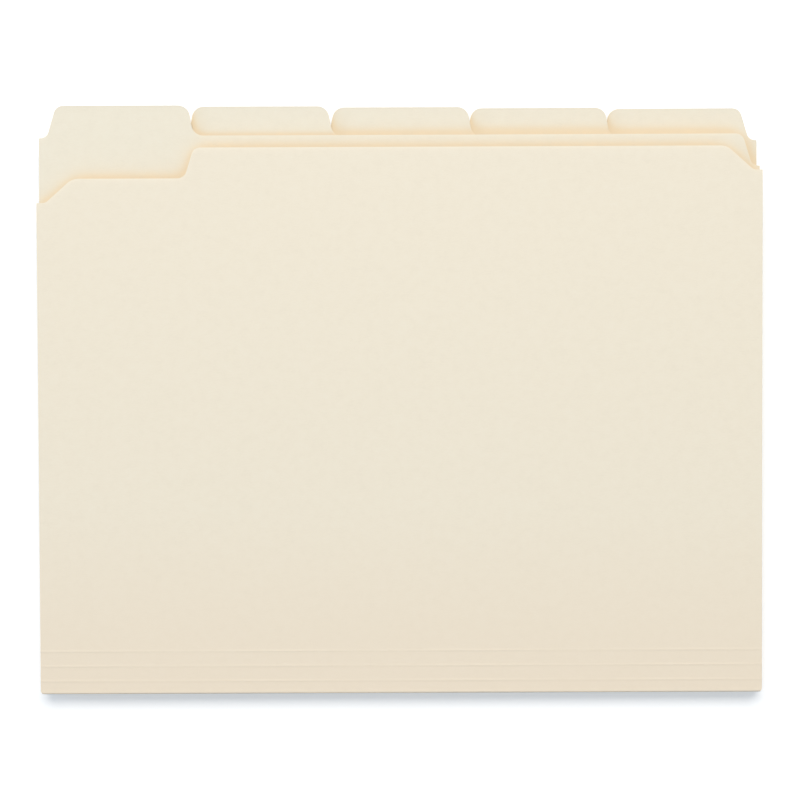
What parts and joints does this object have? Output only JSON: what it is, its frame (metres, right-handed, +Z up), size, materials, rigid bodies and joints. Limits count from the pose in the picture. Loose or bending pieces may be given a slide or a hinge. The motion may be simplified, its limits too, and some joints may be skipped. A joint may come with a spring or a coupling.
{
  "type": "manila folder stack",
  "caption": "Stack of letter-size manila folders with fifth-cut stepped tabs; each opens at its fold, expands at its scores and lifts off.",
  "frame": {"origin": "on the table, below the middle of the stack's width and of its height from fold to tab", "axes": "+X along the fold, left to right as the tabs read; +Y from the fold to the tabs; +Z up, out of the front leaf"},
  "size_m": [0.2958, 0.2418, 0.0137],
  "materials": {
    "manila_stock": "uncoated"
  },
  "bodies": {
    "folder_5_back": {"folder_5_back_leaf": "manila_stock"},
    "folder_5_base": {"folder_5_score_strip_a": "manila_stock", "folder_5_score_strip_b": "manila_stock", "folder_5_score_strip_c": "manila_stock"},
    "folder_5_front": {"folder_5_front_leaf": "manila_stock"},
    "folder_4_back": {"folder_4_back_leaf": "manila_stock"},
    "folder_4_base": {"folder_4_score_strip_a": "manila_stock", "folder_4_score_strip_b": "manila_stock", "folder_4_score_strip_c": "manila_stock"},
    "folder_4_front": {"folder_4_front_leaf": "manila_stock"},
    "folder_3_back": {"folder_3_back_leaf": "manila_stock"},
    "folder_3_base": {"folder_3_score_strip_a": "manila_stock", "folder_3_score_strip_b": "manila_stock", "folder_3_score_strip_c": "manila_stock"},
    "folder_3_front": {"folder_3_front_leaf": "manila_stock"},
    "folder_2_back": {"folder_2_back_leaf": "manila_stock"},
    "folder_2_base": {"folder_2_score_strip_a": "manila_stock", "folder_2_score_strip_b": "manila_stock", "folder_2_score_strip_c": "manila_stock"},
    "folder_2_front": {"folder_2_front_leaf": "manila_stock"},
    "folder_1_back": {"folder_1_back_leaf": "manila_stock"},
    "folder_1_base": {"folder_1_score_strip_a": "manila_stock", "folder_1_score_strip_b": "manila_stock", "folder_1_score_strip_c": "manila_stock"},
    "folder_1_front": {"folder_1_front_leaf": "manila_stock"}
  },
  "joints": [
    {"name": "folder_5_open", "type": "hinge", "parent": "folder_5_back", "child": "folder_5_base", "pos_m": [0, -0.12065, 0.00078], "axis": [1, 0, 0], "range_deg": [0, 90]},
    {"name": "folder_5_expand", "type": "slide", "parent": "folder_5_base", "child": "folder_5_front", "axis": [0, -0.7077, 0.7065], "range_m": [0, 0.02517], "deforming": ["folder_5_score_strip_a", "folder_5_score_strip_b", "folder_5_score_strip_c"]},
    {"name": "folder_4_lift", "type": "slide", "parent": "folder_5_front", "child": "folder_4_back", "axis": [0, 0, 1], "range_m": [0, 0.04]},
    {"name": "folder_4_open", "type": "hinge", "parent": "folder_4_back", "child": "folder_4_base", "pos_m": [0, -0.12053, 0.00264], "axis": [1, 0, 0], "range_deg": [0, 110]},
    {"name": "folder_4_expand", "type": "slide", "parent": "folder_4_base", "child": "folder_4_front", "axis": [0, -0.7083, 0.7059], "range_m": [0, 0.02517], "deforming": ["folder_4_score_strip_a", "folder_4_score_strip_b", "folder_4_score_strip_c"]},
    {"name": "folder_3_lift", "type": "slide", "parent": "folder_4_front", "child": "folder_3_back", "axis": [0, 0, 1], "range_m": [0, 0.12]},
    {"name": "folder_3_open", "type": "hinge", "parent": "folder_3_back", "child": "folder_3_base", "pos_m": [0, -0.12041, 0.0045], "axis": [1, 0, 0], "range_deg": [0, 176.5]},
    {"name": "folder_3_expand", "type": "slide", "parent": "folder_3_base", "child": "folder_3_front", "axis": [0, -0.709, 0.7053], "range_m": [0, 0.02517], "deforming": ["folder_3_score_strip_a", "folder_3_score_strip_b", "folder_3_score_strip_c"]},
    {"name": "folder_2_lift", "type": "slide", "parent": "folder_3_front", "child": "folder_2_back", "axis": [0, 0, 1], "range_m": [0, 0.04]},
    {"name": "folder_2_open", "type": "hinge", "parent": "folder_2_back", "child": "folder_2_base", "pos_m": [0, -0.1203, 0.00636], "axis": [1, 0, 0], "range_deg": [0, 177]},
    {"name": "folder_2_expand", "type": "slide", "parent": "folder_2_base", "child": "folder_2_front", "axis": [0, -0.7096, 0.7046], "range_m": [0, 0.02517], "deforming": ["folder_2_score_strip_a", "folder_2_score_strip_b", "folder_2_score_strip_c"]},
    {"name": "folder_1_lift", "type": "slide", "parent": "folder_2_front", "child": "folder_1_back", "axis": [0, 0, 1], "range_m": [0, 0.08]},
    {"name": "folder_1_open", "type": "hinge", "parent": "folder_1_back", "child": "folder_1_base", "pos_m": [0, -0.12019, 0.00822], "axis": [1, 0, 0], "range_deg": [0, 177]},
    {"name": "folder_1_expand", "type": "slide", "parent": "folder_1_base", "child": "folder_1_front", "axis": [0, -0.7218, 0.6921], "range_m": [0, 0.02517], "deforming": ["folder_1_score_strip_a", "folder_1_score_strip_b", "folder_1_score_strip_c"]}
  ]
}
